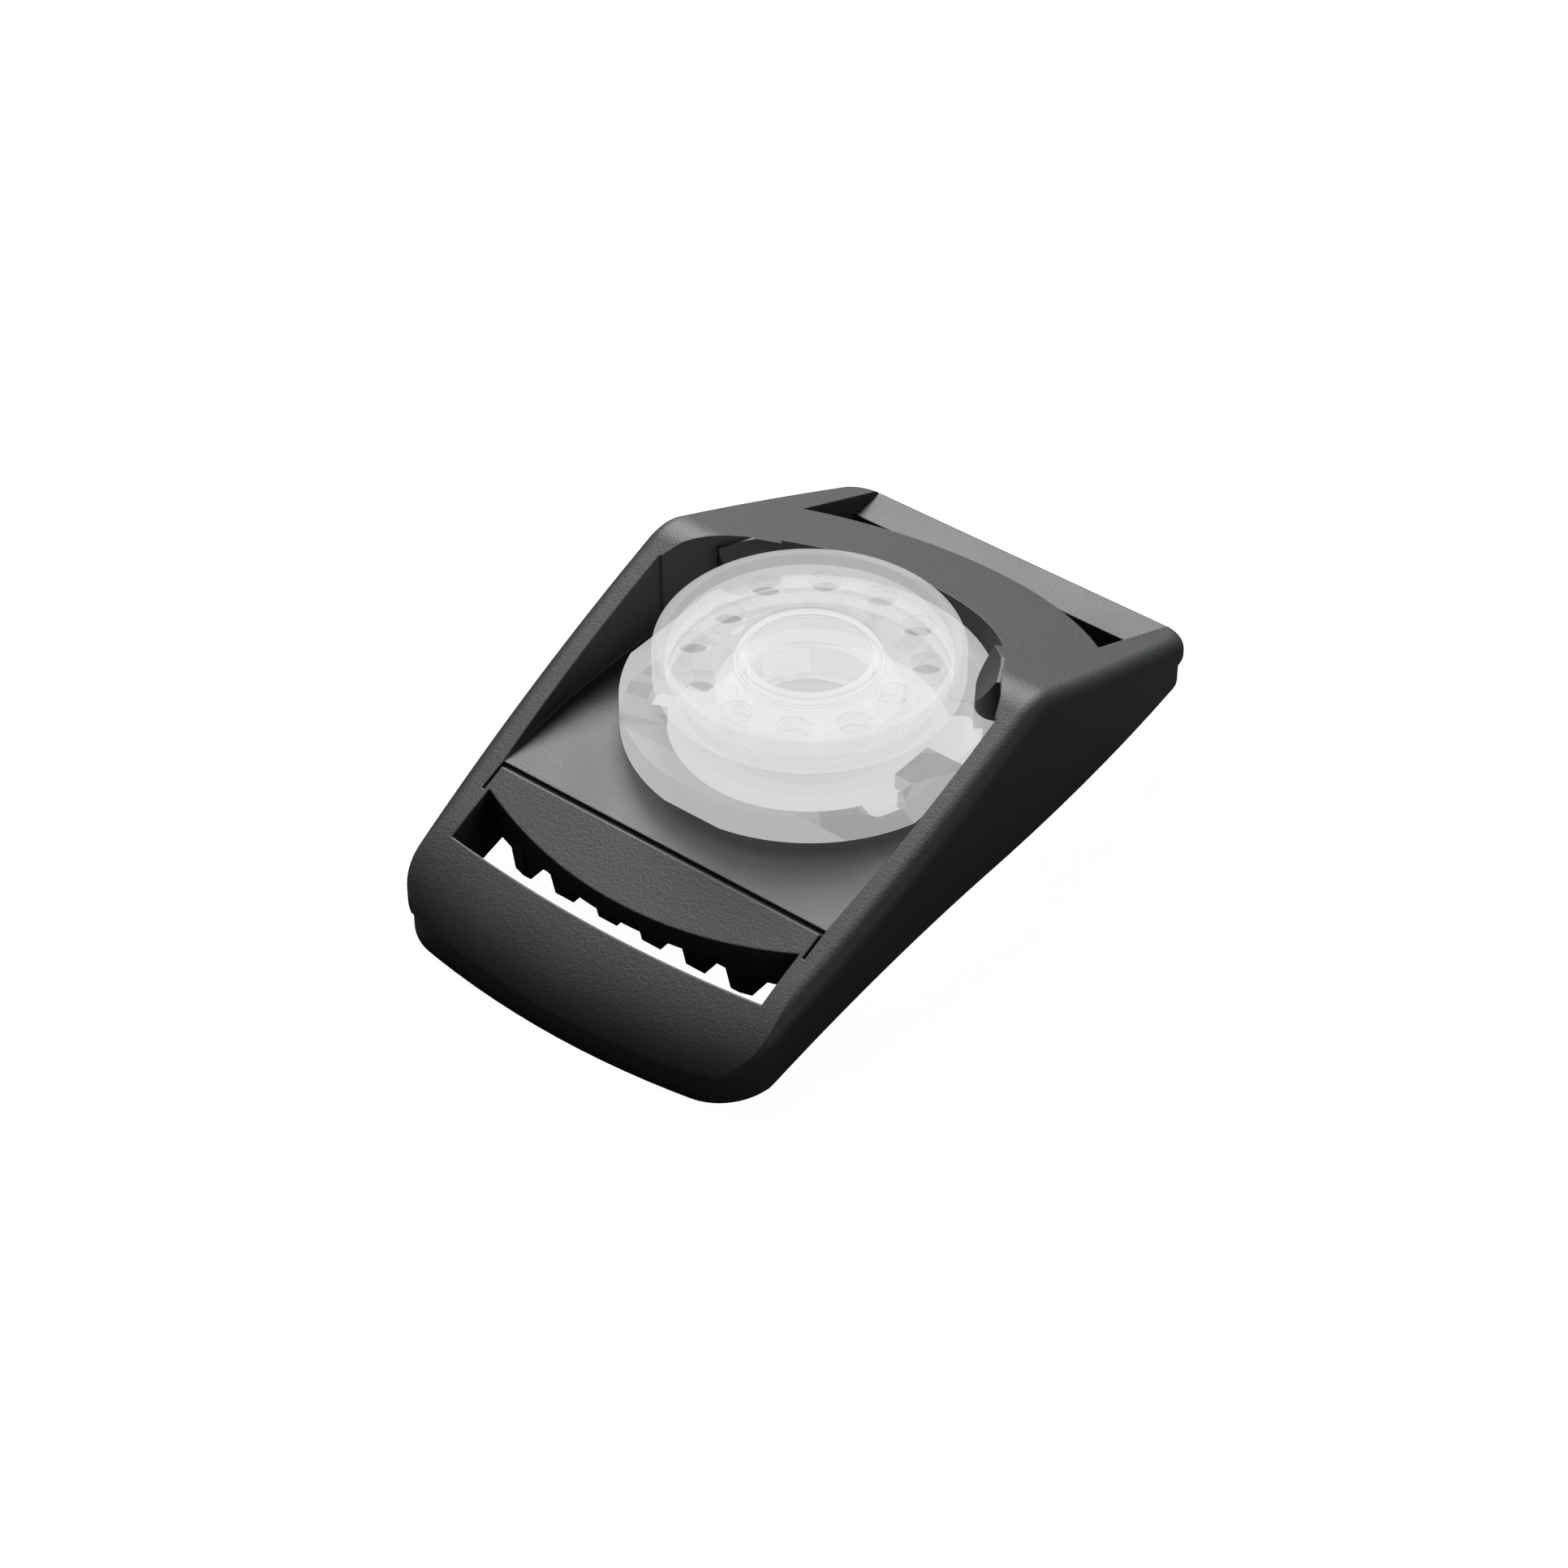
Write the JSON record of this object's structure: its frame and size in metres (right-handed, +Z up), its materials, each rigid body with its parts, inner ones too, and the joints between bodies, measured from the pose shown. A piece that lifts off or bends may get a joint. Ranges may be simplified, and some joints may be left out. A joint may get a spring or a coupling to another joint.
{
  "type": "strap_buckle_magnetic_snap",
  "caption": "Magnetic snap buckle for webbing: a moulded ladder-lock frame with a sewing bar, and a clear round snap puck that slides and turns in its pocket",
  "frame": {"origin": "on the puck's axis at the pocket floor", "axes": "+X across the strap; +Y along the strap, from the ladder-lock end to the sewn-loop end; +Z up, out of the pocket along the puck's axis"},
  "size_m": [0.0312, 0.0498, 0.0147],
  "materials": {
    "frame_nylon": "fine moulded grain, dark grey glass-filled nylon",
    "puck_clear": "smooth clear moulded plastic",
    "puck_insert": "smooth clear, standing for the metal inside",
    "keeper_steel": "plain punched steel"
  },
  "bodies": {
    "frame_body": {"frame": "frame_nylon", "keeper_ring": "keeper_steel"},
    "puck_base": {"puck_flange": "puck_clear", "hub_collar": "puck_clear", "hub_tube": "puck_clear", "thrust_washer": "puck_clear"},
    "puck_swivel": {"head_plate": "puck_clear", "head_cap": "puck_clear", "ring_magnet": "puck_insert", "pole_plate": "puck_insert"}
  },
  "joints": [
    {"name": "release_slide", "type": "slide", "parent": "frame_body", "child": "puck_base", "axis": [0, -1, 0], "range_m": [0, 0.0032]},
    {"name": "head_turn", "type": "hinge", "parent": "puck_base", "child": "puck_swivel", "pos_m": [0, 0, 0], "axis": [0, 0, 1], "continuous": true}
  ]
}
